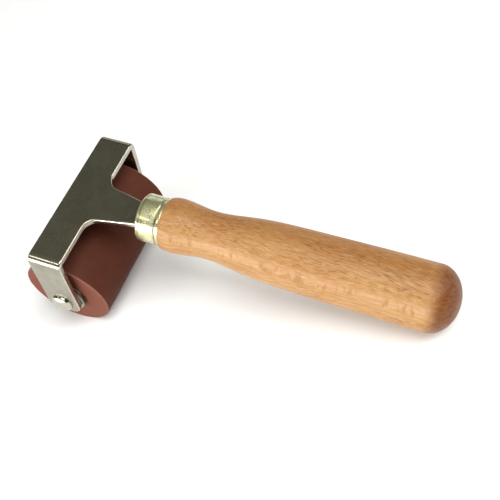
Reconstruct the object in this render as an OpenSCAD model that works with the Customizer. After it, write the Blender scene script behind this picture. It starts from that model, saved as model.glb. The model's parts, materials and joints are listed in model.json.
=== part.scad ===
// Rubber brayer: a rubber roller that spins on a riveted axle, held in a bent
// steel yoke whose tang is driven into a turned handle with a brass ferrule.
// It lies as it is put down on a table, on its roller and the end of its handle.
// +X runs from the roller to the handle, Y along the roller and Z up.

/* [Roller] */
// Length of the roller between its end faces
roller_len = 60; // [40:1:100]
// Outer diameter of the rubber
roller_d = 39; // [34:0.5:42]
// Chamfer on the rubber's two rims
rim_chamfer = 0.6; // [0.2:0.1:2]
// Outer diameter of the tube that the rubber is moulded on
core_d = 16; // [14:0.5:20]
// Wall of that tube
core_wall = 1.5; // [1:0.1:2.5]

/* [Axle, bushes and washers] */
// Diameter of the axle rod
axle_d = 6; // [4:0.5:7]
// Radial running clearance of the bushes on the axle
axle_clearance = 0.05; // [0.02:0.01:0.1]
// Diameter of the domed rivet heads
head_d = 9.8; // [8:0.1:12]
// Height of the domed rivet heads
head_h = 2.6; // [1.5:0.1:3.5]
// Length of a bush, flange included
bush_len = 11; // [6:0.5:16]
// Thickness of a bush's flange
flange_t = 1; // [0.6:0.1:2]
// Outer diameter of the thrust washers
washer_d = 18; // [14:0.5:24]
// Thickness of the thrust washers
washer_t = 1.6; // [1:0.1:1.6]
// Radial play of the washers on the axle
washer_play = 0.2; // [0.1:0.05:0.4]
// Gap between the roller's end face and the arm
end_gap = 2; // [1.9:0.1:4]

/* [Yoke] */
// Thickness of the steel sheet
sheet_t = 3; // [2:0.1:3.2]
// Width of the strip that makes the crossbar and the arms
strip_w = 15.2; // [12:0.1:20]
// Height of the crossbar's top above the axle
plate_h = 32; // [30:0.5:40]
// Outside radius of the two bends
bend_r = 3.6; // [3.3:0.1:6]
// How far the arms reach below the axle
arm_drop = 6; // [5:0.1:9]
// Radius of the arms' bottom corners
arm_corner_r = 4; // [1:0.1:5]
// Width of the tang where it leaves the crossbar
tang_root_w = 19.4; // [14:0.1:26]
// Width of the tang where it enters the ferrule
tang_neck_w = 11; // [8:0.1:14]
// Radius between crossbar and tang
fillet_r = 6; // [2:0.5:8]
// Length of the spike that is driven into the wood
spike_len = 54; // [30:1:80]
// How much thinner the spike is than the sheet
spike_relief = 0.2; // [0.1:0.05:0.4]

/* [Ferrule] */
// Distance from the axle to the ferrule's front edge
ferrule_x = 29.7; // [27:0.1:40]
// Length of the ferrule
ferrule_len = 10.5; // [8:0.1:16]
// Outer diameter of the ferrule
ferrule_d = 20.3; // [18:0.1:22]
// Wall of the ferrule
ferrule_wall = 0.6; // [0.4:0.1:0.8]
// Outside radius of the rolled front edge
roll_r = 1.1; // [0.9:0.1:2]
// Depth of the crimped groove
groove_depth = 0.4; // [0.2:0.05:0.5]
// Width of the crimped groove
groove_w = 1.3; // [1:0.1:2]
// Distance from the groove to the ferrule's rear edge
groove_back = 1.7; // [1.2:0.1:3]

/* [Handle] */
// Length of the wood behind the ferrule
wood_len = 121.4; // [100:0.1:140]
// Diameter of the wood where it meets the ferrule
nose_d = 21.2; // [20.4:0.1:23]
// Diameter at the shoulder
shoulder_d = 23; // [20:0.1:26]
// Diameter at the waist
waist_d = 19.9; // [17:0.1:22]
// Diameter where the handle swells out
swell_d = 24.2; // [20:0.1:27]
// Diameter at the belly
belly_d = 26.2; // [22:0.1:30]
// Diameter of the barrel, just before the end
barrel_d = 27; // [22:0.1:30]
// Length of the rounded end
cap_len = 10.6; // [6:0.1:14]

/* [Hidden] */
$fn = 96;

// Along Y: -1 is the user's left when they hold the handle, 1 is the right
left = -1;
right = 1;

roller_r = roller_d / 2;
core_r = core_d / 2;
axle_r = axle_d / 2;
arm_face = roller_len / 2 + end_gap;      // inner face of an arm
yoke_w = 2 * (arm_face + sheet_t);        // width over both arms
strip_x = strip_w / 2;                    // rear edge of the crossbar
plate_z = plate_h - sheet_t;              // underside of the crossbar
handle_z = plate_h - sheet_t / 2;         // handle's axis, at the sheet's middle
hole_r = axle_r + 0.02;                   // rivet hole in an arm
head_ball_r = (head_d * head_d / 4 + head_h * head_h) / (2 * head_h);

ferrule_r = ferrule_d / 2;
tenon_r = ferrule_r - ferrule_wall;
wood_x = ferrule_x + ferrule_len;         // where the visible wood begins
groove_x = wood_x - groove_back;
cap_x = wood_x + wood_len - cap_len;
cap_r = barrel_d / 2;

// The tang's half width falls evenly from the crossbar to the ferrule
neck_x = ferrule_x - 0.7;                 // flat sheet ends just before the ferrule
tang_slope = (tang_root_w - tang_neck_w) / 2 / (neck_x - strip_x);
tang_secant = sqrt(1 + tang_slope * tang_slope);
fillet_x = strip_x + fillet_r;
fillet_y = tang_root_w / 2 - tang_slope * fillet_r + fillet_r * tang_secant;
spike_w = 9.2;                            // spike's width behind the neck
spike_end_w = 6;                          // spike's width before its point
spike_point = 6;                          // length of the point

// Stations of the handle: distance behind the ferrule, radius, slope
stations = [
    [0, nose_d / 2, 0.5],
    [4.3, shoulder_d / 2, 0],
    [19.8, waist_d / 2, 0],
    [39.8, swell_d / 2, 0.09],
    [69.8, belly_d / 2, 0.02],
    [wood_len - cap_len, cap_r, 0]
];
station_steps = 8;
cap_steps = 16;

// Height from the handle's centre line down to the table, at a given tilt
function cap_reach(a) = sqrt(pow(cap_len * sin(a), 2) + pow(cap_r * cos(a), 2));

// Each step brings the tilt nearer to the one where both ends touch the table
function settle(a, steps) = steps == 0 ? a
    : settle(asin((roller_r + handle_z * cos(a) - cap_reach(a)) / cap_x), steps - 1);

tilt = settle(14, 20);
rear_x = cap_x * cos(tilt) + handle_z * sin(tilt)
    + sqrt(pow(cap_len * cos(tilt), 2) + pow(cap_r * sin(tilt), 2));
middle_x = (rear_x - roller_r) / 2;

// Smooth step from one station to the next, t from 0 to 1
function between(a, b, t) = let (w = b[0] - a[0], tt = t * t, ttt = tt * t) [
    a[0] + w * t,
    (1 - 3 * tt + 2 * ttt) * a[1] + (3 * tt - 2 * ttt) * b[1]
        + w * ((ttt - 2 * tt + t) * a[2] + (ttt - tt) * b[2])
];

function arc(cx, cy, r, a0, a1, n) =
    [for (i = [0:n]) let (a = a0 + (a1 - a0) * i / n) [cx + r * cos(a), cy + r * sin(a)]];

// The crimped groove, as a dip of one cosine wave in radius r
function crimped(r, n) = [for (i = [0:n])
    [r - groove_depth * (1 - cos(360 * i / n)) / 2, groove_x - groove_w / 2 + groove_w * i / n]];

function flipped(points) = [for (i = [len(points) - 1:-1:0]) points[i]];

// From the upright tool frame, axle at the origin, to the tool lying on a table
module at_rest() {
    translate([-middle_x, 0, roller_r]) rotate([0, tilt, 0]) children();
}

// Turns a shape made along Z to run along Y, away from the middle on that side
module along_y(side) {
    rotate([-90 * side, 0, 0]) children();
}

// Spins an outline of [radius, distance] points about the handle's axis
module turned(outline) {
    translate([0, 0, handle_z]) rotate([0, 90, 0]) rotate_extrude() polygon(outline);
}

module ring(r_out, r_in, h) {
    difference() {
        cylinder(r = r_out, h = h);
        translate([0, 0, -1]) cylinder(r = r_in, h = h + 2);
    }
}

// Crossbar and the visible part of the tang, seen from above
module flat_outline() {
    bar_len = yoke_w - 2 * bend_r;
    translate([-strip_x, -bar_len / 2]) square([strip_w, bar_len]);
    polygon([
        [0, -tang_root_w / 2], [strip_x, -tang_root_w / 2], [neck_x, -tang_neck_w / 2],
        [neck_x, tang_neck_w / 2], [strip_x, tang_root_w / 2], [0, tang_root_w / 2]
    ]);
    for (side = [left, right]) scale([1, side]) difference() {
        polygon([
            [strip_x, tang_root_w / 2], [strip_x, fillet_y],
            [fillet_x - fillet_r * tang_slope / tang_secant, fillet_y - fillet_r / tang_secant]
        ]);
        translate([fillet_x, fillet_y]) circle(r = fillet_r);
    }
}

// Spike that holds the handle, seen from above, with room past its point if asked
module spike_outline(room) {
    spike_x = neck_x + spike_len;
    polygon([
        [neck_x - 2, -spike_w / 2], [spike_x - spike_point + room, -spike_end_w / 2],
        [spike_x + room, 0], [spike_x - spike_point + room, spike_end_w / 2],
        [neck_x - 2, spike_w / 2]
    ]);
}

module spike(room) {
    translate([0, 0, plate_z + spike_relief / 2])
        linear_extrude(sheet_t - spike_relief) spike_outline(room);
}

// Quarter ring that joins the crossbar to an arm
module bend(side) {
    translate([-strip_x, side * (yoke_w / 2 - bend_r), plate_h - bend_r])
        rotate([90, 0, 90]) linear_extrude(strip_w) intersection() {
            difference() {
                circle(r = bend_r);
                circle(r = bend_r - sheet_t);
            }
            translate([side > 0 ? 0 : -bend_r, 0]) square(bend_r);
        }
}

// One arm, with round bottom corners
module arm(side) {
    corner_x = strip_x - arm_corner_r;
    translate([0, side * arm_face, 0]) along_y(side) linear_extrude(sheet_t) scale([1, -side]) {
        translate([-strip_x, arm_corner_r - arm_drop])
            square([strip_w, plate_h - bend_r + arm_drop - arm_corner_r]);
        translate([-corner_x, -arm_drop]) square([2 * corner_x, arm_corner_r]);
        for (x = [-corner_x, corner_x])
            translate([x, arm_corner_r - arm_drop]) circle(r = arm_corner_r);
    }
}

module yoke_frame() {
    color("#77746a") at_rest() difference() {
        union() {
            translate([0, 0, plate_z]) linear_extrude(sheet_t) flat_outline();
            spike(0);
            for (side = [left, right]) {
                bend(side);
                arm(side);
            }
        }
        rotate([90, 0, 0]) cylinder(r = hole_r, h = yoke_w + 2, center = true);
    }
}

// Rod with a dome formed on each end, against the outside of each arm
module axle() {
    color("#c9c6ba") at_rest() {
        rotate([90, 0, 0]) cylinder(r = axle_r, h = yoke_w, center = true);
        for (side = [left, right]) along_y(side) intersection() {
            translate([0, 0, yoke_w / 2]) cylinder(r = head_d / 2, h = head_h);
            translate([0, 0, yoke_w / 2 + head_h - head_ball_r]) sphere(r = head_ball_r);
        }
    }
}

// Plain washer against the inside of an arm
module washer(side) {
    color("#9da095") at_rest() along_y(side) translate([0, 0, arm_face - washer_t])
        ring(washer_d / 2, axle_r + washer_play, washer_t);
}

module washer_left() {
    washer(left);
}

module washer_right() {
    washer(right);
}

module rubber_sleeve() {
    half = roller_len / 2;
    color("#6b342b") at_rest() rotate([90, 0, 0]) rotate_extrude() polygon([
        [core_r, -half], [roller_r - rim_chamfer, -half], [roller_r, rim_chamfer - half],
        [roller_r, half - rim_chamfer], [roller_r - rim_chamfer, half], [core_r, half]
    ]);
}

module roller_core() {
    tube_len = roller_len - 2 * flange_t;
    color("#a8a8a4") at_rest() rotate([90, 0, 0]) translate([0, 0, -tube_len / 2])
        ring(core_r, core_r - core_wall, tube_len);
}

// Flanged bush, flush with the roller's end face
module bush(side) {
    color("#dcd9cc") at_rest() along_y(side) difference() {
        union() {
            translate([0, 0, roller_len / 2 - bush_len])
                cylinder(r = core_r - core_wall, h = bush_len);
            translate([0, 0, roller_len / 2 - flange_t]) cylinder(r = core_r, h = flange_t);
        }
        translate([0, 0, roller_len / 2 - bush_len - 1])
            cylinder(r = axle_r + axle_clearance, h = bush_len + 2);
    }
}

module bush_left() {
    bush(left);
}

module bush_right() {
    bush(right);
}

// Brass tube with its front edge rolled in and a groove crimped near the back
module ferrule() {
    roll_x = ferrule_x + roll_r;
    lip_r = tenon_r - 1;
    color("#cfc27a") at_rest() turned(concat(
        [[lip_r, ferrule_x]],
        flipped(arc(ferrule_r - roll_r, roll_x, roll_r, 0, -90, 8)),
        crimped(ferrule_r, 8),
        [[ferrule_r, wood_x], [tenon_r, wood_x]],
        flipped(crimped(tenon_r, 8)),
        arc(ferrule_r - roll_r, roll_x, roll_r - ferrule_wall, 0, -90, 8),
        [[lip_r, ferrule_x + ferrule_wall]]
    ));
}

// Turned handle: a tenon inside the ferrule, then shoulder, waist, barrel and cap
module handle() {
    tenon_x = ferrule_x + ferrule_wall;
    color("#d09c66") at_rest() difference() {
        turned(concat(
            [[0, tenon_x], [tenon_r - roll_r, tenon_x], [tenon_r, tenon_x + roll_r]],
            crimped(tenon_r, 8),
            [[tenon_r, wood_x]],
            [for (i = [0:len(stations) - 2]) for (s = [0:station_steps - 1])
                let (p = between(stations[i], stations[i + 1], s / station_steps))
                    [p[1], wood_x + p[0]]],
            [for (i = [0:cap_steps]) let (a = 90 * i / cap_steps)
                [cap_r * cos(a), cap_x + cap_len * sin(a)]]
        ));
        spike(1);
    }
}

yoke_frame();
axle();
washer_left();
washer_right();
rubber_sleeve();
roller_core();
bush_left();
bush_right();
ferrule();
handle();
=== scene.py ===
import json
import math

import bmesh
import bpy
from mathutils import Matrix, Quaternion, Vector


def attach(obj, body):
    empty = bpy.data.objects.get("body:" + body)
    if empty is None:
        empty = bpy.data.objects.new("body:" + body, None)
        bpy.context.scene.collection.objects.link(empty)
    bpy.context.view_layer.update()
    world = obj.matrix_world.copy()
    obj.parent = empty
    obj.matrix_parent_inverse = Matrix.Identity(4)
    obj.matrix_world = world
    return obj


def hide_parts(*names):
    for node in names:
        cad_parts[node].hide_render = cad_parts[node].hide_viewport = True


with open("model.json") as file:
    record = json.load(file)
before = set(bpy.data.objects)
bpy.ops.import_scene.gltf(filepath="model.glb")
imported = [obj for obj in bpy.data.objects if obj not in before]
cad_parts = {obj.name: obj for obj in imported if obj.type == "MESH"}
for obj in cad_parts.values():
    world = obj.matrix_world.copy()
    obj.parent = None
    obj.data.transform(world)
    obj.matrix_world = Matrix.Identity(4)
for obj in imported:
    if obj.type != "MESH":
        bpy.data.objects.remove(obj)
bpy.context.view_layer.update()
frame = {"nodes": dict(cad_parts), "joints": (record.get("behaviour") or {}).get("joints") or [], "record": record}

mm = 0.001
record = frame["record"]
scene = bpy.context.scene

# The brayer is drawn upright, with the axle at the origin and the handle along +X.
# layDown then tips it over, onto its roller and the end of its handle.
axleAt = Vector(frame["joints"][0]["pos_m"])
flatTop = next(m for m in record["mounts"] if m["name"] == "yoke_top")
tilt = math.atan2(flatTop["axis"][0], flatTop["axis"][2])
layDown = Matrix.Translation(axleAt) @ Matrix.Rotation(tilt, 4, "Y")
standUp = layDown.inverted()


def span(node):
    spots = [standUp @ v.co for v in frame["nodes"][node].data.vertices]
    low = Vector([min(p[i] for p in spots) for i in range(3)])
    high = Vector([max(p[i] for p in spots) for i in range(3)])
    return low, high


yokeLow, yokeHigh = span("yoke_frame")
axleHigh = span("axle")[1]
rubberHigh = span("rubber_sleeve")[1]
coreHigh = span("roller_core")[1]
washerLow, washerHigh = span("washer_right")
ferruleLow, ferruleHigh = span("ferrule")
handleHigh = span("handle")[1]
plateUp = (Vector(flatTop["pos_m"]) - axleAt).length
sheetThick = yokeHigh.y - washerHigh.y
handleUp = plateUp - sheetThick / 2
print("frame read, tilt %.2f degrees" % math.degrees(tilt))


def arcPoints(centre, radius, start, end, steps):
    turns = [math.radians(start + (end - start) * i / steps) for i in range(steps + 1)]
    return [(centre[0] + radius * math.cos(a), centre[1] + radius * math.sin(a)) for a in turns]


def makePiece(name, bm, materials, sharpAngle=40):
    bmesh.ops.remove_doubles(bm, verts=bm.verts, dist=0.002 * mm)
    bmesh.ops.recalc_face_normals(bm, faces=bm.faces)
    mesh = bpy.data.meshes.new(name)
    bm.to_mesh(mesh)
    bm.free()
    for material in materials:
        mesh.materials.append(material)
    mesh.transform(layDown)
    mesh.polygons.foreach_set("use_smooth", [True] * len(mesh.polygons))
    mesh.set_sharp_from_angle(angle=math.radians(sharpAngle))
    piece = bpy.data.objects.new(name, mesh)
    scene.collection.objects.link(piece)
    return piece


alongY = Matrix.Rotation(math.radians(90), 4, "Z")
alongHandle = Matrix.Translation((0, 0, handleUp))


def turnOnLathe(name, outline, place, materials, steps):
    # outline holds (distance along the axis, radius) pairs
    bm = bmesh.new()
    rings = []
    for along, radius in outline:
        count = steps if radius > 0 else 1
        turns = [2 * math.pi * i / steps for i in range(count)]
        spots = [Vector((along, radius * math.cos(a), radius * math.sin(a))) for a in turns]
        rings.append([bm.verts.new(place @ p) for p in spots])
    bands = list(zip(rings, rings[1:]))
    if len(rings[0]) > 1:
        bands.append((rings[-1], rings[0]))
    for near, far in bands:
        for i in range(steps):
            loop = [near[i % len(near)], near[(i + 1) % len(near)],
                    far[(i + 1) % len(far)], far[i % len(far)]]
            bm.faces.new([v for k, v in enumerate(loop) if v is not loop[k - 1]])
    return makePiece(name, bm, materials)


# Short names for building node trees

def put(tree, kind, **settings):
    node = tree.nodes.new("ShaderNode" + kind)
    for key, value in settings.items():
        setattr(node, key, value)
    return node


def plug(tree, value, socket):
    if isinstance(value, bpy.types.NodeSocket):
        tree.links.new(value, socket)
    else:
        socket.default_value = value


def calc(tree, operation, *values):
    node = put(tree, "Math", operation=operation)
    for value, socket in zip(values, node.inputs):
        plug(tree, value, socket)
    return node.outputs[0]


def stretch(tree, vector, scale):
    node = put(tree, "VectorMath", operation="MULTIPLY")
    plug(tree, vector, node.inputs[0])
    plug(tree, scale, node.inputs[1])
    return node.outputs[0]


def shift(tree, vector, offset):
    node = put(tree, "VectorMath", operation="ADD")
    plug(tree, vector, node.inputs[0])
    plug(tree, offset, node.inputs[1])
    return node.outputs[0]


def noise(tree, vector, scale=1.0, detail=2.0, roughness=0.5):
    node = put(tree, "TexNoise")
    plug(tree, vector, node.inputs["Vector"])
    plug(tree, scale, node.inputs["Scale"])
    plug(tree, detail, node.inputs["Detail"])
    plug(tree, roughness, node.inputs["Roughness"])
    return node.outputs["Fac"]


def fade(tree, value, low, high, toLow=0.0, toHigh=1.0):
    node = put(tree, "MapRange", interpolation_type="SMOOTHSTEP")
    labels = ("Value", "From Min", "From Max", "To Min", "To Max")
    for label, given in zip(labels, (value, low, high, toLow, toHigh)):
        plug(tree, given, node.inputs[label])
    return node.outputs["Result"]


def blend(tree, mask, first, second):
    node = put(tree, "Mix", data_type="RGBA")
    colours = [s for s in node.inputs if s.type == "RGBA"]
    plug(tree, mask, node.inputs["Factor"])
    plug(tree, first, colours[0])
    plug(tree, second, colours[1])
    return next(s for s in node.outputs if s.type == "RGBA")


def tint(tree, colour, mask, share, over):
    return blend(tree, calc(tree, "MULTIPLY", mask, share), colour, over)


def bump(tree, height, strength, distance):
    node = put(tree, "Bump")
    node.inputs["Strength"].default_value = strength
    node.inputs["Distance"].default_value = distance
    plug(tree, height, node.inputs["Height"])
    return node.outputs["Normal"]


def apart(tree, vector):
    node = put(tree, "SeparateXYZ")
    plug(tree, vector, node.inputs[0])
    return node.outputs


def newMaterial(name, **constants):
    material = bpy.data.materials.new(name)
    material.use_nodes = True
    shader = material.node_tree.nodes["Principled BSDF"]
    for label, value in constants.items():
        shader.inputs[label.replace("_", " ")].default_value = value
    return material, material.node_tree, shader.inputs


def uprightPlace(tree):
    # Place on the upright brayer, in millimetres from the axle's middle
    place = put(tree, "Mapping", vector_type="TEXTURE")
    place.inputs["Location"].default_value = axleAt
    place.inputs["Rotation"].default_value = (0, tilt, 0)
    place.inputs["Scale"].default_value = (mm, mm, mm)
    plug(tree, put(tree, "TexCoord").outputs["Object"], place.inputs["Vector"])
    return place.outputs["Vector"]


# Effects that several finishes share, each a node group

def newGroup(name, inputs, outputs):
    group = bpy.data.node_groups.new(name, "ShaderNodeTree")
    for label, kind, value in inputs:
        socket = group.interface.new_socket(name=label, in_out="INPUT", socket_type=kind)
        if value is not None:
            socket.default_value = value
    for label in outputs:
        group.interface.new_socket(name=label, in_out="OUTPUT", socket_type="NodeSocketFloat")
    given = group.nodes.new("NodeGroupInput").outputs
    made = group.nodes.new("NodeGroupOutput").inputs
    return group, given, made


def makeMottle():
    # Soft clouds, such as handling smudges or uneven colour
    group, given, made = newGroup("softMottle", [
        ("Vector", "NodeSocketVector", None),
        ("Scale", "NodeSocketFloat", 0.1),
        ("Contrast", "NodeSocketFloat", 0.2),
    ], ["Mask"])
    clouds = noise(group, given["Vector"], given["Scale"], detail=4.0, roughness=0.6)
    low = calc(group, "SUBTRACT", 0.5, given["Contrast"])
    high = calc(group, "ADD", 0.5, given["Contrast"])
    plug(group, fade(group, clouds, low, high), made["Mask"])
    return group


def makeScratches():
    # Thin lines where stretched noise crosses its middle value, in patches
    group, given, made = newGroup("fineScratches", [
        ("Vector", "NodeSocketVector", None),
        ("Scale", "NodeSocketFloat", 1.0),
        ("Width", "NodeSocketFloat", 0.012),
        ("Cover", "NodeSocketFloat", 0.5),
    ], ["Mask"])
    lines = None
    for angle, offset in ((24, 3.0), (-51, 11.0), (82, 29.0)):
        turned = put(group, "Mapping")
        turned.inputs["Rotation"].default_value = (0.3, 0.2, math.radians(angle))
        turned.inputs["Location"].default_value = (offset, offset, offset)
        plug(group, given["Vector"], turned.inputs["Vector"])
        long = stretch(group, turned.outputs[0], (0.05, 1.1, 1.1))
        drawn = noise(group, long, given["Scale"], detail=2.0)
        off = calc(group, "ABSOLUTE", calc(group, "SUBTRACT", drawn, 0.5))
        line = fade(group, off, given["Width"], 0.0)
        patch = noise(group, turned.outputs[0], scale=0.16, detail=1.0)
        least = calc(group, "SUBTRACT", 0.75, calc(group, "MULTIPLY", given["Cover"], 0.5))
        covered = fade(group, patch, least, calc(group, "ADD", least, 0.1))
        line = calc(group, "MULTIPLY", line, covered)
        lines = line if lines is None else calc(group, "MAXIMUM", lines, line)
    plug(group, lines, made["Mask"])
    return group


def makeSpecks():
    # Scattered round specks, such as dust, pits or ink left in the surface
    group, given, made = newGroup("scatteredSpecks", [
        ("Vector", "NodeSocketVector", None),
        ("Scale", "NodeSocketFloat", 1.0),
        ("Size", "NodeSocketFloat", 0.2),
        ("Share", "NodeSocketFloat", 0.2),
    ], ["Mask"])
    cells = put(group, "TexVoronoi")
    plug(group, given["Vector"], cells.inputs["Vector"])
    plug(group, given["Scale"], cells.inputs["Scale"])
    core = calc(group, "MULTIPLY", given["Size"], 0.5)
    spot = fade(group, cells.outputs["Distance"], given["Size"], core)
    chosen = calc(group, "LESS_THAN", apart(group, cells.outputs["Color"])["X"], given["Share"])
    plug(group, calc(group, "MULTIPLY", spot, chosen), made["Mask"])
    return group


def makeEdgeWear():
    # Outer edges, broken up by noise
    group, given, made = newGroup("edgeWear", [
        ("Vector", "NodeSocketVector", None),
        ("Reach", "NodeSocketFloat", 0.03),
        ("Breakup", "NodeSocketFloat", 0.5),
    ], ["Mask"])
    sharp = put(group, "NewGeometry").outputs["Pointiness"]
    edge = fade(group, sharp, 0.505, calc(group, "ADD", 0.505, given["Reach"]))
    broken = noise(group, given["Vector"], scale=0.9, detail=3.0)
    broken = fade(group, broken, 0.35, 0.65)
    kept = calc(group, "SUBTRACT", 1.0, calc(group, "MULTIPLY", given["Breakup"], broken))
    plug(group, calc(group, "MULTIPLY", edge, kept), made["Mask"])
    return group


softMottle = makeMottle()
fineScratches = makeScratches()
scatteredSpecks = makeSpecks()
edgeWear = makeEdgeWear()


def effect(tree, group, vector, **values):
    node = put(tree, "Group", node_tree=group)
    plug(tree, vector, node.inputs["Vector"])
    for label, value in values.items():
        plug(tree, value, node.inputs[label])
    return node.outputs["Mask"]


# Finishes

def metalFinish(name, look):
    material, tree, shader = newMaterial(name, Metallic=look["metallic"], Coat_Weight=look["coat"],
                                         Coat_Roughness=look["coatRough"])
    place = uprightPlace(tree)
    clouds = effect(tree, softMottle, place, Scale=look["mottle"], Contrast=look["contrast"])
    marks = effect(tree, fineScratches, place, Scale=look["scratchScale"],
                   Width=look["scratchWidth"], Cover=look["scratchCover"])
    pits = effect(tree, scatteredSpecks, place, Scale=look["pitScale"], Size=look["pitSize"],
                  Share=look["pitShare"])
    worn = effect(tree, edgeWear, place, Reach=look["edgeReach"], Breakup=look["edgeBreakup"])
    colour = blend(tree, clouds, look["base"], look["smudge"])
    colour = tint(tree, colour, pits, look["pitShow"], look["pitAndShade"])
    colour = tint(tree, colour, marks, look["scratchShow"], look["bright"])
    colour = blend(tree, worn, colour, look["bright"])
    # Painted shade darkens the creases, given as (place along the brayer, half width)
    along = apart(tree, place)["X"]
    for at, reach in look["shadedCreases"]:
        away = calc(tree, "ABSOLUTE", calc(tree, "SUBTRACT", along, at / mm))
        creaseShade = fade(tree, away, reach / mm, 0.2 * reach / mm)
        patchy = fade(tree, clouds, 0.0, 1.0, toLow=0.45, toHigh=0.85)
        colour = tint(tree, colour, creaseShade, patchy, look["pitAndShade"])
    plug(tree, colour, shader["Base Color"])
    rough = fade(tree, clouds, 0.0, 1.0, look["smooth"], look["rough"])
    rough = calc(tree, "ADD", rough, calc(tree, "MULTIPLY", marks, look["scratchRough"]))
    rough = calc(tree, "SUBTRACT", rough, calc(tree, "MULTIPLY", worn, look["edgeShine"]))
    plug(tree, rough, shader["Roughness"])
    grain = noise(tree, stretch(tree, place, look["grainStretch"]), look["grain"],
                  detail=3.0, roughness=0.6)
    height = calc(tree, "SUBTRACT", grain, calc(tree, "MULTIPLY", marks, look["scratchDepth"]))
    height = calc(tree, "SUBTRACT", height, calc(tree, "MULTIPLY", pits, look["pitDepth"]))
    plug(tree, bump(tree, height, look["bump"], distance=0.05 * mm), shader["Normal"])
    return material


sheetLook = {
    "metallic": 1.0, "coat": 0.0, "coatRough": 0.03, "shadedCreases": [],
    "base": (0.305, 0.276, 0.200, 1), "smudge": (0.200, 0.180, 0.128, 1),
    # pit is the colour of the pits and of the painted shade in the creases
    "bright": (0.46, 0.44, 0.36, 1), "pitAndShade": (0.16, 0.155, 0.12, 1),
    "mottle": 0.11, "contrast": 0.16, "smooth": 0.17, "rough": 0.24,
    "scratchScale": 1.3, "scratchWidth": 0.008, "scratchCover": 0.35, "scratchShow": 0.25,
    "scratchDepth": 0.5, "scratchRough": 0.12,
    "pitScale": 0.9, "pitSize": 0.22, "pitShare": 0.05, "pitShow": 0.6, "pitDepth": 0.8,
    "edgeReach": 0.05, "edgeBreakup": 0.35, "edgeShine": 0.06,
    "grain": 1.0, "grainStretch": (1, 1, 1), "bump": 0.02,
}
cutEdgeLook = dict(
    sheetLook, base=(0.50, 0.47, 0.41, 1), smudge=(0.38, 0.35, 0.29, 1),
    bright=(0.66, 0.63, 0.56, 1), smooth=0.16, rough=0.24,
    grain=1.2, grainStretch=(2.2, 2.2, 0.5), bump=0.08,
)
rivetLook = dict(
    sheetLook, base=(0.50, 0.48, 0.40, 1), smudge=(0.42, 0.40, 0.33, 1),
    bright=(0.62, 0.60, 0.52, 1), mottle=0.35, smooth=0.08, rough=0.12, grain=0.9, bump=0.03,
)
washerLook = dict(
    sheetLook, base=(0.175, 0.19, 0.150, 1), smudge=(0.125, 0.14, 0.105, 1),
    bright=(0.36, 0.37, 0.31, 1), mottle=0.3, smooth=0.28, rough=0.38, bump=0.08,
)
brassLook = dict(
    sheetLook, metallic=0.85, coat=0.5, coatRough=0.14,
    # painted shade in the crease behind the rolled lip and in the groove
    shadedCreases=[(ferruleLow.x + 1.6 * mm, 0.7 * mm), (ferruleHigh.x - 1.7 * mm, 0.7 * mm)],
    base=(0.70, 0.67, 0.41, 1), smudge=(0.44, 0.43, 0.21, 1), bright=(0.72, 0.70, 0.48, 1),
    pitAndShade=(0.17, 0.16, 0.07, 1), mottle=0.30, smooth=0.16, rough=0.30,
    scratchScale=1.7, scratchWidth=0.016, scratchCover=0.9, scratchShow=0.4,
    pitScale=1.3, pitShare=0.03, grain=1.6, grainStretch=(2.5, 0.6, 0.6), bump=0.20,
)
steelFace = metalFinish("sheetSteelFace", sheetLook)
steelEdge = metalFinish("sheetSteelCutEdge", cutEdgeLook)
rivetSteel = metalFinish("rivetSteel", rivetLook)
washerZinc = metalFinish("washerZinc", washerLook)
brass = metalFinish("ferruleBrass", brassLook)
print("metals ready")

rubberLook = {
    "rolling": (0.071, 0.0195, 0.0100, 1), "worn": (0.086, 0.0265, 0.0155, 1),
    # cut is the end face's colour, painted lighter than the rolling surface as painted light
    "cut": (0.138, 0.0455, 0.0290, 1), "rim": (0.20, 0.085, 0.060, 1),
    # rim and its share: a painted highlight along the rounded rim of the end face
    "dust": (0.22, 0.12, 0.09, 1), "rimHighlightShow": 0.8, "dustShow": 0.5, "scuffShow": 0.12,
    # how far in from the end face and the outside the end face's painted light and the rim's painted highlight
    # show, in millimetres
    "paintedEndFrom": 0.35, "paintedEndFull": 0.1, "rimFrom": 0.75, "rimIn": 0.9, "rimFull": 0.4,
    "smooth": 0.52, "rough": 0.64, "bump": 0.22,
}


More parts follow.
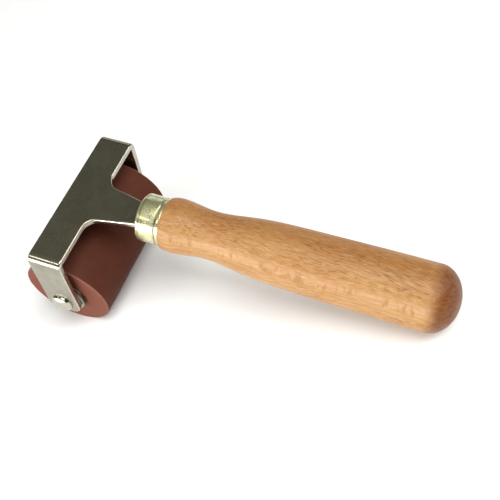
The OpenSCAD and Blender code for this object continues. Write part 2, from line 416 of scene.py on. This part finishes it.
def maroonRubber(look):
    material, tree, shader = newMaterial("maroonRubber", Specular_IOR_Level=0.07)
    place = uprightPlace(tree)
    x, y, z = apart(tree, place)
    half = rubberHigh.y / mm
    outer = rubberHigh.x / mm
    fromMiddle = calc(tree, "ABSOLUTE", y)
    fromAxis = calc(tree, "SQRT", calc(tree, "ADD", calc(tree, "MULTIPLY", x, x),
                                       calc(tree, "MULTIPLY", z, z)))
    paintedLightEnd = fade(tree, fromMiddle, half - look["paintedEndFrom"], half - look["paintedEndFull"])
    nearEnd = fade(tree, fromMiddle, half - look["rimFrom"], half - look["paintedEndFrom"])
    nearOutside = fade(tree, fromAxis, outer - look["rimIn"], outer - look["rimFull"])
    rim = calc(tree, "MULTIPLY", nearEnd, nearOutside)
    clouds = effect(tree, softMottle, place, Scale=0.09, Contrast=0.22)
    dust = effect(tree, scatteredSpecks, place, Scale=1.1, Size=0.16, Share=0.05)
    scuffs = effect(tree, fineScratches, place, Scale=1.2, Width=0.012, Cover=0.3)
    colour = blend(tree, clouds, look["rolling"], look["worn"])
    # Painted light: the end face, where the key lamp falls, is painted lighter
    colour = blend(tree, paintedLightEnd, colour, look["cut"])
    # Painted highlight: a light line along the rounded rim
    colour = tint(tree, colour, rim, look["rimHighlightShow"], look["rim"])
    colour = tint(tree, colour, dust, look["dustShow"], look["dust"])
    colour = tint(tree, colour, scuffs, look["scuffShow"], look["dust"])
    plug(tree, colour, shader["Base Color"])
    plug(tree, fade(tree, clouds, 0.0, 1.0, look["smooth"], look["rough"]), shader["Roughness"])
    # Grinding leaves faint rings round the roller
    ground = noise(tree, stretch(tree, place, (0.25, 5.0, 0.25)), scale=1.0, detail=2.0)
    grit = noise(tree, place, scale=3.2, detail=3.0, roughness=0.6)
    height = calc(tree, "ADD", calc(tree, "MULTIPLY", ground, 0.6), grit)
    plug(tree, bump(tree, height, look["bump"], distance=0.06 * mm), shader["Normal"])
    return material


beechLook = {
    "light": (0.410, 0.243, 0.098, 1), "warm": (0.345, 0.176, 0.060, 1),
    "pink": (0.352, 0.172, 0.070, 1), "pinkShow": 0.55,
    "late": (0.265, 0.115, 0.037, 1), "lateShow": 0.35,
    # painted shade: the darker, redder colour of the upper side
    "shadedUpper": (0.330, 0.133, 0.032, 1), "shadedUpperShow": 0.65,
    "cream": (0.460, 0.285, 0.135, 1), "creamShow": 0.60, "deepShow": 0.45,
    "quarterShow": 0.25, "fleck": (0.270, 0.110, 0.027, 1), "fleckShow": 0.65,
    "dash": (0.185, 0.076, 0.023, 1), "dashShow": 0.80, "poreShow": 0.35,
    # end and endLine: end grain colours, also dark enough to paint shade on the cap
    "end": (0.110, 0.030, 0.006, 1), "endLine": (0.165, 0.053, 0.012, 1), "endGrainAndShadeShow": 0.92,
    # how far the darker end grain and the painted shade on the cap reach in from the tip, from none to full, in
    # millimetres
    "endFrom": 11.5, "endTo": 4.0, "endUneven": 3.0,
    # degrees the rings lean from level, and the grain slopes off the axis
    "lean": 28, "slope": 5,
    # millimetres the grain wanders sideways and across the rings
    "swaySide": 5.0, "swayAcross": 9.0,
    "ringScale": 0.16, "threadSize": (0.22, 2.3, 2.3), "dashSize": (0.25, 2.9, 2.9),
    "fleckSize": (0.50, 0.20, 0.20), "poreSize": (0.12, 5.2, 5.2),
    "smooth": 0.38, "rough": 0.52, "bump": 0.12, "dashDepth": 0.8, "poreDepth": 0.6,
}


def woodAxes(tree, place, look):
    # Local Z runs across the rings. Facing is 1 where the surface looks that way, -1 where
    # it looks the other way and 0 at the sides.
    laid = put(tree, "Mapping", vector_type="TEXTURE")
    laid.inputs["Location"].default_value = (0, 0, handleUp / mm)
    laid.inputs["Rotation"].default_value = (math.radians(-look["lean"]), 0, 0)
    plug(tree, place, laid.inputs["Vector"])
    _, cross, across = apart(tree, laid.outputs[0])
    radius = calc(tree, "SQRT", calc(tree, "ADD", calc(tree, "MULTIPLY", cross, cross),
                                     calc(tree, "MULTIPLY", across, across)))
    facing = calc(tree, "DIVIDE", across, calc(tree, "ADD", radius, 0.01))
    # The grain slopes a little off the axis and wanders
    sloped = put(tree, "Mapping", vector_type="TEXTURE")
    sloped.inputs["Rotation"].default_value = (0, 0, math.radians(-look["slope"]))
    plug(tree, laid.outputs[0], sloped.inputs["Vector"])
    wander = noise(tree, stretch(tree, place, (0.02, 0.03, 0.03)), scale=1.0, detail=2.0)
    wander = calc(tree, "SUBTRACT", wander, 0.5)
    sway = put(tree, "CombineXYZ")
    plug(tree, calc(tree, "MULTIPLY", wander, look["swaySide"]), sway.inputs["Y"])
    plug(tree, calc(tree, "MULTIPLY", wander, look["swayAcross"]), sway.inputs["Z"])
    return shift(tree, sloped.outputs[0], sway.outputs[0]), facing


def woodRings(tree, grain, scale):
    rings = put(tree, "TexWave", wave_type="BANDS", bands_direction="Z", wave_profile="SAW")
    plug(tree, stretch(tree, grain, (0.12, 0.35, 1.0)), rings.inputs["Vector"])
    rings.inputs["Scale"].default_value = scale
    rings.inputs["Distortion"].default_value = 2.2
    rings.inputs["Detail"].default_value = 2.0
    rings.inputs["Detail Scale"].default_value = 0.7
    return fade(tree, rings.outputs["Fac"], 0.35, 1.0)


def woodRays(tree, place, grain, facing, look):
    # Rays are thin plates: short dashes seen from above, wide flecks seen from the side
    turned = calc(tree, "ABSOLUTE", facing)
    sawnFlat = fade(tree, turned, 0.12, 0.50)
    quarter = fade(tree, turned, 0.27, 0.04)
    rays = noise(tree, stretch(tree, grain, look["dashSize"]), scale=1.0, detail=1.5)
    crowd = noise(tree, stretch(tree, grain, (0.03, 0.12, 0.12)), scale=1.0, detail=2.0)
    dashes = fade(tree, rays, 0.545, 0.63)
    dashes = calc(tree, "MULTIPLY", dashes, fade(tree, sawnFlat, 0.0, 1.0, toLow=0.12))
    crowd = fade(tree, fade(tree, crowd, 0.32, 0.62), 0.0, 1.0, toLow=0.40)
    dashes = calc(tree, "MULTIPLY", dashes, crowd)
    blots = noise(tree, stretch(tree, place, look["fleckSize"]), scale=1.0, detail=1.0)
    flecks = calc(tree, "MULTIPLY", fade(tree, blots, 0.50, 0.70), quarter)
    return dashes, flecks, quarter


def beechWood(look):
    material, tree, shader = newMaterial("turnedBeech", Coat_Weight=0.07, Coat_Roughness=0.24,
                                         Specular_IOR_Level=0.18)
    place = uprightPlace(tree)
    grain, facing = woodAxes(tree, place, look)
    # Broad changes of colour, with painted shade: the upper side is painted darker and redder
    patches = effect(tree, softMottle, stretch(tree, grain, (0.30, 1.3, 1.3)), Scale=0.10,
                     Contrast=0.2)
    blush = shift(tree, stretch(tree, place, (0.6, 1.0, 1.0)), (40.0, 5.0, 9.0))
    blush = effect(tree, softMottle, blush, Scale=0.06, Contrast=0.16)
    shadedUpper = fade(tree, facing, 0.45, 1.0)
    colour = blend(tree, patches, look["light"], look["warm"])
    colour = tint(tree, colour, blush, look["pinkShow"], look["pink"])
    colour = tint(tree, colour, woodRings(tree, grain, look["ringScale"]), look["lateShow"],
                  look["late"])
    # Painted shade on the upper side
    colour = tint(tree, colour, shadedUpper, look["shadedUpperShow"], look["shadedUpper"])
    # Fine pale and dark threads everywhere
    threads = shift(tree, stretch(tree, grain, look["threadSize"]), (7.0, 3.0, 5.0))
    threads = noise(tree, threads, scale=1.0, detail=3.0)
    colour = tint(tree, colour, fade(tree, threads, 0.50, 0.70), look["creamShow"], look["cream"])
    colour = tint(tree, colour, fade(tree, threads, 0.48, 0.30), look["deepShow"], look["late"])
    dashes, flecks, quarter = woodRays(tree, place, grain, facing, look)
    pores = noise(tree, stretch(tree, grain, look["poreSize"]), scale=1.0, detail=1.0)
    pores = fade(tree, pores, 0.55, 0.75)
    colour = tint(tree, colour, quarter, look["quarterShow"], look["cream"])
    colour = tint(tree, colour, flecks, look["fleckShow"], look["fleck"])
    colour = tint(tree, colour, pores, look["poreShow"], look["late"])
    colour = tint(tree, colour, dashes, look["dashShow"], look["dash"])
    # End grain drinks more lacquer and looks darker; the same darkening is also painted shade on the down-facing
    # cap
    tip = handleHigh.x / mm
    uneven = noise(tree, place, scale=0.22, detail=3.0)
    uneven = calc(tree, "MULTIPLY", uneven, look["endUneven"])
    along = calc(tree, "ADD", apart(tree, place)["X"], uneven)
    endGrainAndShade = fade(tree, along, tip - look["endFrom"], tip - look["endTo"])
    endLines = noise(tree, stretch(tree, grain, (0.25, 0.5, 1.6)), scale=1.0, detail=2.0)
    endLines = blend(tree, fade(tree, endLines, 0.42, 0.62), look["end"], look["endLine"])
    colour = tint(tree, colour, endGrainAndShade, look["endGrainAndShadeShow"], endLines)
    plug(tree, colour, shader["Base Color"])
    plug(tree, fade(tree, patches, 0.0, 1.0, look["smooth"], look["rough"]), shader["Roughness"])
    height = calc(tree, "ADD", calc(tree, "MULTIPLY", dashes, look["dashDepth"]),
                  calc(tree, "MULTIPLY", pores, look["poreDepth"]))
    height = calc(tree, "SUBTRACT", 1.0, height)
    plug(tree, bump(tree, height, look["bump"], distance=0.08 * mm), shader["Normal"])
    return material


rubber = maroonRubber(rubberLook)
beech = beechWood(beechLook)
print("rubber and beech ready")


# Yoke: cut flat, its edges rounded, then both ends bent down

yokeShape = {
    "edgeRound": 0.80 * mm, "edgeSteps": 4, "bendRadius": 3.6 * mm, "bendSteps": 12,
    "armCorner": 4.0 * mm, "cornerSteps": 8, "fillet": 6.0 * mm, "filletSteps": 12,
    "rootWidth": 19.4 * mm, "neckWidth": 11.0 * mm, "neckGap": 0.7 * mm,
    "spikeWidth": 9.2 * mm, "spikeTip": 6.0 * mm, "spikePoint": 6.0 * mm,
}


def yokeBlank(shape, armEnd):
    # One half, as (x, distance along the strip) from the front corner round to the tang's
    # point, then the same mirrored
    edge = -yokeLow.x
    corner = shape["armCorner"]
    neckX = ferruleLow.x - shape["neckGap"]
    slope = (shape["rootWidth"] - shape["neckWidth"]) / 2 / (neckX - edge)
    secant = math.hypot(1, slope)
    fillet = shape["fillet"]
    filletAt = (edge + fillet, shape["rootWidth"] / 2 - slope * fillet + fillet * secant)
    steps = shape["cornerSteps"]
    points = arcPoints((corner - edge, armEnd - corner), corner, 180, 90, steps)
    points += arcPoints((edge - corner, armEnd - corner), corner, 90, 0, steps)
    filletEnd = 180 + math.degrees(math.atan2(1, slope))
    points += arcPoints(filletAt, fillet, 180, filletEnd, shape["filletSteps"])
    points += [
        (neckX, shape["neckWidth"] / 2),
        (neckX + shape["neckGap"], shape["spikeWidth"] / 2),
        (yokeHigh.x - shape["spikePoint"], shape["spikeTip"] / 2),
        (yokeHigh.x, 0),
    ]
    return points + [(x, -y) for x, y in reversed(points[:-1])]


def makeYoke(shape):
    bend = shape["bendRadius"]
    flatHalf = yokeHigh.y - bend
    bendLong = (bend - sheetThick / 2) * math.pi / 2
    armEnd = flatHalf + bendLong + plateUp - bend - yokeLow.z
    bm = bmesh.new()
    floorVerts = [bm.verts.new((x, y, 0)) for x, y in yokeBlank(shape, armEnd)]
    face = bm.faces.new(floorVerts)
    raised = bmesh.ops.extrude_face_region(bm, geom=[face])
    top = [v for v in raised["geom"] if isinstance(v, bmesh.types.BMVert)]
    bmesh.ops.translate(bm, verts=top, vec=(0, 0, sheetThick))
    rims = [e for e in bm.edges if abs(e.verts[0].co.z - e.verts[1].co.z) < 0.1 * sheetThick]
    bmesh.ops.bevel(bm, geom=rims, offset=shape["edgeRound"], offset_type="OFFSET",
                    segments=shape["edgeSteps"], profile=0.5, affect="EDGES", clamp_overlap=False)
    bm.normal_update()
    # Cut edges take the second material
    for f in bm.faces:
        f.material_index = 1 if abs(f.normal.z) < 0.6 else 0
    for i in range(shape["bendSteps"] + 1):
        for side in (-1, 1):
            cut = side * (flatHalf + bendLong * i / shape["bendSteps"])
            bmesh.ops.bisect_plane(bm, geom=bm.verts[:] + bm.edges[:] + bm.faces[:],
                                   plane_co=(0, cut, 0), plane_no=(0, 1, 0), dist=0.001 * mm)
    for v in bm.verts:
        x, run, up = v.co
        side = 1 if run > 0 else -1
        past = max(abs(run) - flatHalf, 0)
        angle = min(past / bendLong, 1) * math.pi / 2
        drop = max(past - bendLong, 0)
        reach = bend - sheetThick + up
        v.co.y = side * (min(abs(run), flatHalf) + reach * math.sin(angle))
        v.co.z = plateUp - bend + reach * math.cos(angle) - drop
    yoke = makePiece("yoke_bent_sheet", bm, [steelFace, steelEdge], sharpAngle=50)
    even = yoke.modifiers.new("evenNormals", "WEIGHTED_NORMAL")
    even.keep_sharp = True
    return yoke


yoke = makeYoke(yokeShape)
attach(yoke, "frame")
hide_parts("yoke_frame")
print("yoke bent")

axleShape = {
    "rod": 3.0 * mm, "headEdge": 0.15 * mm, "shoulder": 1.3 * mm,
    "shoulderSteps": 10, "crownSteps": 12,
}


def makeAxle(shape):
    # A low crown that runs smoothly into a rounded shoulder
    face, head, r = yokeHigh.y, axleHigh.x, shape["shoulder"]
    edge = face + shape["headEdge"]
    meet = 2 * math.atan2(axleHigh.y - edge - r, head - r)
    crown = (head - r) / math.sin(meet) + r
    meet = math.degrees(meet)
    right = [(face, shape["rod"]), (face, head)]
    right += arcPoints((edge, head - r), r, 90, meet, shape["shoulderSteps"])
    right += arcPoints((axleHigh.y - crown, 0), crown, meet, 0, shape["crownSteps"])[1:-1]
    right.append((axleHigh.y, 0))
    left = [(-along, radius) for along, radius in reversed(right)]
    return turnOnLathe("axle_rivet", left + right, alongY, [rivetSteel], steps=96)


axle = makeAxle(axleShape)
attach(axle, "frame")
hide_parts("axle")

washerShape = {"bore": 3.2 * mm, "edgeRound": 0.22 * mm, "edgeSteps": 4}


def makeWasher(shape, side):
    outer = washerHigh.x
    r, steps = shape["edgeRound"], shape["edgeSteps"]
    inside, outside = washerLow.y, washerHigh.y
    outline = [(inside, shape["bore"])]
    outline += arcPoints((inside + r, outer - r), r, 180, 90, steps)
    outline += arcPoints((outside - r, outer - r), r, 90, 0, steps)
    outline += [(outside, shape["bore"])]
    name = "washer_left_disc" if side < 0 else "washer_right_disc"
    outline = [(side * along, radius) for along, radius in outline]
    return turnOnLathe(name, outline, alongY, [washerZinc], steps=96)


for side, node in ((-1, "washer_left"), (1, "washer_right")):
    washer = makeWasher(washerShape, side)
    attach(washer, "frame")
    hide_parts(node)
print("axle and washers turned")

sleeveShape = {
    "rim": 0.6 * mm, "rimSteps": 6, "belts": 24,
    # depth of the hollow in each end face, and its distances from the core and the outside
    "dish": 0.12 * mm, "dishInner": 1.0 * mm, "dishOuter": 3.0 * mm,
}


def makeSleeve(shape):
    half, outer, inner = rubberHigh.y, rubberHigh.x, coreHigh.x
    rim, dish = shape["rim"], shape["dish"]
    right = [(half - dish, inner), (half - dish, inner + shape["dishInner"]),
             (half, outer - shape["dishOuter"])]
    right += arcPoints((half - rim, outer - rim), rim, 0, 90, shape["rimSteps"])
    left = [(-along, radius) for along, radius in reversed(right)]
    length = 2 * (half - rim)
    belts = [(half - rim - length * i / shape["belts"], outer) for i in range(1, shape["belts"])]
    return turnOnLathe("rubber_roller_sleeve", right + belts + left, alongY, [rubber], steps=192)


sleeve = makeSleeve(sleeveShape)
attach(sleeve, "roller")
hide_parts("rubber_sleeve")
print("sleeve moulded")

ferruleShape = {
    "wall": 0.6 * mm, "roll": 1.1 * mm, "lip": 1.0 * mm, "lipRound": 0.1 * mm,
    "rearRound": 0.15 * mm, "rollSteps": 14, "insideSteps": 6, "rearSteps": 4,
    "groove": 0.4 * mm, "grooveWidth": 1.3 * mm, "grooveBack": 1.7 * mm, "grooveSteps": 16,
}


def grooved(shape, radius):
    at = ferruleHigh.x - shape["grooveBack"]
    steps = shape["grooveSteps"]
    dips = [(1 - math.cos(2 * math.pi * i / steps)) / 2 for i in range(steps + 1)]
    return [(at + shape["grooveWidth"] * (i / steps - 0.5), radius - shape["groove"] * d)
            for i, d in enumerate(dips)]


def makeFerrule(shape):
    front, rear, outer = ferruleLow.x, ferruleHigh.x, ferruleHigh.y
    wall, roll, r = shape["wall"], shape["roll"], shape["rearRound"]
    lip = outer - wall - shape["lip"]
    middle = (front + roll, outer - roll)
    outline = [(front + wall, lip), (front + 0.3 * wall, lip - shape["lipRound"] / 2),
               (front, lip + shape["lipRound"])]
    outline += arcPoints(middle, roll, 180, 90, shape["rollSteps"])
    outline += grooved(shape, outer)
    outline += arcPoints((rear - r, outer - r), r, 90, 0, shape["rearSteps"])
    outline += [(rear, outer - wall)]
    outline += list(reversed(grooved(shape, outer - wall)))
    outline += arcPoints(middle, roll - wall, 90, 180, shape["insideSteps"])
    return turnOnLathe("ferrule_tube", outline, alongHandle, [brass], steps=160)


ferrule = makeFerrule(ferruleShape)
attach(ferrule, "frame")
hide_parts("ferrule")
print("ferrule crimped")

handleShape = {
    # distance behind the ferrule and radius in millimetres, then slope
    "stations": [
        (0.0, 10.6, 0.5), (4.3, 11.5, 0.0), (19.8, 9.95, 0.0),
        (39.8, 12.1, 0.09), (69.8, 13.1, 0.02), (110.8, 13.5, 0.0),
    ],
    "stationSteps": 14, "capSteps": 30, "noseRound": 0.25 * mm,
}


def between(a, b, t):
    width = b[0] - a[0]
    ease = 3 * t * t - 2 * t * t * t
    swing = (t * t * t - 2 * t * t + t) * a[2] + (t * t * t - t * t) * b[2]
    return (a[0] + width * t, (1 - ease) * a[1] + ease * b[1] + width * swing)


def makeHandle(shape):
    front, wood = ferruleLow.x, ferruleHigh.x
    wall = ferruleShape["wall"]
    tenon = ferruleHigh.y - wall
    chamfer = ferruleShape["roll"]
    outline = [(front + wall, 0), (front + wall, tenon - chamfer), (front + wall + chamfer, tenon)]
    outline += grooved(ferruleShape, tenon)
    stations = shape["stations"]
    steps = shape["stationSteps"]
    turned = [between(a, b, i / steps)
              for a, b in zip(stations, stations[1:]) for i in range(steps)]
    nose = stations[0][1] * mm
    outline += [(wood, tenon), (wood, nose - shape["noseRound"])]
    outline += [(wood + along * mm, radius * mm) for along, radius in turned
                if along * mm > shape["noseRound"]]
    capFrom, capRadius = wood + stations[-1][0] * mm, stations[-1][1] * mm
    capLong = handleHigh.x - capFrom
    for i in range(shape["capSteps"]):
        a = math.radians(90 * i / shape["capSteps"])
        outline.append((capFrom + capLong * math.sin(a), capRadius * math.cos(a)))
    outline.append((handleHigh.x, 0))
    return turnOnLathe("handle_turned", outline, alongHandle, [beech], steps=192)


handle = makeHandle(handleShape)
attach(handle, "frame")
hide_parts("handle")
print("handle turned")


# Hidden pieces keep their own solids

def plainFinish(name, first, second, roughness, metallic):
    material, tree, shader = newMaterial(name, Metallic=metallic)
    place = uprightPlace(tree)
    clouds = effect(tree, softMottle, place, Scale=0.4, Contrast=0.2)
    marks = effect(tree, fineScratches, place, Scale=1.5, Width=0.012, Cover=0.5)
    colour = blend(tree, clouds, first, second)
    plug(tree, colour, shader["Base Color"])
    rough = calc(tree, "ADD", roughness, calc(tree, "MULTIPLY", marks, 0.15))
    plug(tree, rough, shader["Roughness"])
    height = noise(tree, place, scale=2.0, detail=3.0)
    plug(tree, bump(tree, height, strength=0.1, distance=0.05 * mm), shader["Normal"])
    return material


tubeSteel = plainFinish("coreTubeSteel", (0.55, 0.55, 0.53, 1), (0.45, 0.45, 0.43, 1),
                        roughness=0.35, metallic=1.0)
bushNylon = plainFinish("bushNylon", (0.70, 0.67, 0.58, 1), (0.62, 0.59, 0.50, 1),
                        roughness=0.45, metallic=0.0)
hiddenFinishes = (("roller_core", tubeSteel), ("bush_left", bushNylon), ("bush_right", bushNylon))
for node, finish in hiddenFinishes:
    for slot in frame["nodes"][node].material_slots:
        slot.material = finish

# Floor, lights and camera

stageSet = {
    "floorSize": 3.0, "floorColour": (0.90, 0.90, 0.89, 1), "floorShade": (0.88, 0.88, 0.87, 1),
    "skyTop": (0.232, 0.237, 0.210, 1), "skyMiddle": (0.07, 0.07, 0.065, 1),
    "skyLow": (0.85, 0.85, 0.85, 1), "skyBack": (0.10, 0.10, 0.095, 1),
    # where the low sky changes from light to dark, turned this much to the right
    "skyTurn": 1.2, "lightUntil": -0.7, "darkFrom": 0.3,
    # heights between which the low sky fades to the middle, and the middle to the top
    "middleFrom": 0.05, "middleFull": 0.40, "topFrom": 0.60, "topFull": 0.90,
}


def makeFloor(settings):
    half = settings["floorSize"] / 2
    mesh = bpy.data.meshes.new("floor")
    corners = [(-half, -half, 0), (half, -half, 0), (half, half, 0), (-half, half, 0)]
    mesh.from_pydata(corners, [], [(0, 1, 2, 3)])
    material, tree, shader = newMaterial("paleFloor", Roughness=0.75, Specular_IOR_Level=0.2)
    place = put(tree, "TexCoord").outputs["Object"]
    clouds = effect(tree, softMottle, place, Scale=6.0, Contrast=0.25)
    colour = blend(tree, clouds, settings["floorColour"], settings["floorShade"])
    plug(tree, colour, shader["Base Color"])
    mesh.materials.append(material)
    floor = bpy.data.objects.new("floor", mesh)
    scene.collection.objects.link(floor)


def makeSky(settings):
    world = bpy.data.worlds.new("studioSky")
    world.use_nodes = True
    scene.world = world
    tree = world.node_tree
    right, back, up = apart(tree, put(tree, "TexCoord").outputs["Generated"])
    # Bright low down in front and to the left, dark behind and at the right
    behind = calc(tree, "ADD", back, calc(tree, "MULTIPLY", right, settings["skyTurn"]))
    behind = fade(tree, behind, settings["lightUntil"], settings["darkFrom"])
    middle = fade(tree, up, settings["middleFrom"], settings["middleFull"])
    top = fade(tree, up, settings["topFrom"], settings["topFull"])
    sky = blend(tree, behind, settings["skyLow"], settings["skyBack"])
    sky = blend(tree, middle, sky, settings["skyMiddle"])
    sky = blend(tree, top, sky, settings["skyTop"])
    plug(tree, sky, tree.nodes["Background"].inputs["Color"])
    tree.nodes["Background"].inputs["Strength"].default_value = 1.0


def aimed(azimuth, elevation):
    # Azimuth 0 is out beyond the near arm, and 90 beyond the end of the handle
    a, e = math.radians(azimuth), math.radians(elevation)
    return Vector((math.sin(a) * math.cos(e), -math.cos(a) * math.cos(e), math.sin(e)))


def softBox(name, azimuth, elevation, distance, width, height, watts):
    light = bpy.data.lights.new(name, "AREA")
    light.shape = "RECTANGLE"
    light.size, light.size_y, light.energy = width, height, watts
    lamp = bpy.data.objects.new(name, light)
    back = aimed(azimuth, elevation)
    lamp.location = back * distance
    lamp.rotation_mode = "QUATERNION"
    lamp.rotation_quaternion = back.to_track_quat("Z", "Y")
    scene.collection.objects.link(lamp)


makeFloor(stageSet)
makeSky(stageSet)
# The key makes the white band on the bend, and the strip the thin line above it
softBox("keyBox", azimuth=-22, elevation=12, distance=0.9, width=1.3, height=0.34, watts=13)
softBox("highStrip", azimuth=-36, elevation=53, distance=1.08, width=0.6, height=0.08, watts=1.5)
softBox("rearCard", azimuth=116, elevation=30, distance=1.2, width=0.6, height=0.7, watts=6)
softBox("topFill", azimuth=78, elevation=66, distance=1.1, width=0.7, height=0.7, watts=11)
softBox("rearGlow", azimuth=206, elevation=20, distance=1.2, width=1.2, height=0.5, watts=1.5)

cameraSet = {
    "azimuth": 42.8, "elevation": 48.2, "roll": -26.5, "distance": 351 * mm, "lens": 59.5,
    "aim": (0.2 * mm, 8.7 * mm, 15 * mm),
}


def makeCamera(settings):
    camera = bpy.data.objects.new("camera", bpy.data.cameras.new("camera"))
    back = aimed(settings["azimuth"], settings["elevation"])
    camera.location = Vector(settings["aim"]) + back * settings["distance"]
    camera.rotation_mode = "QUATERNION"
    roll = Quaternion((0, 0, 1), math.radians(settings["roll"]))
    camera.rotation_quaternion = back.to_track_quat("Z", "Y") @ roll
    camera.data.lens = settings["lens"]
    camera.data.clip_start = 0.01
    scene.collection.objects.link(camera)
    scene.camera = camera


makeCamera(cameraSet)
scene.view_settings.view_transform = "Standard"
scene.view_settings.look = "None"
print("stage set")
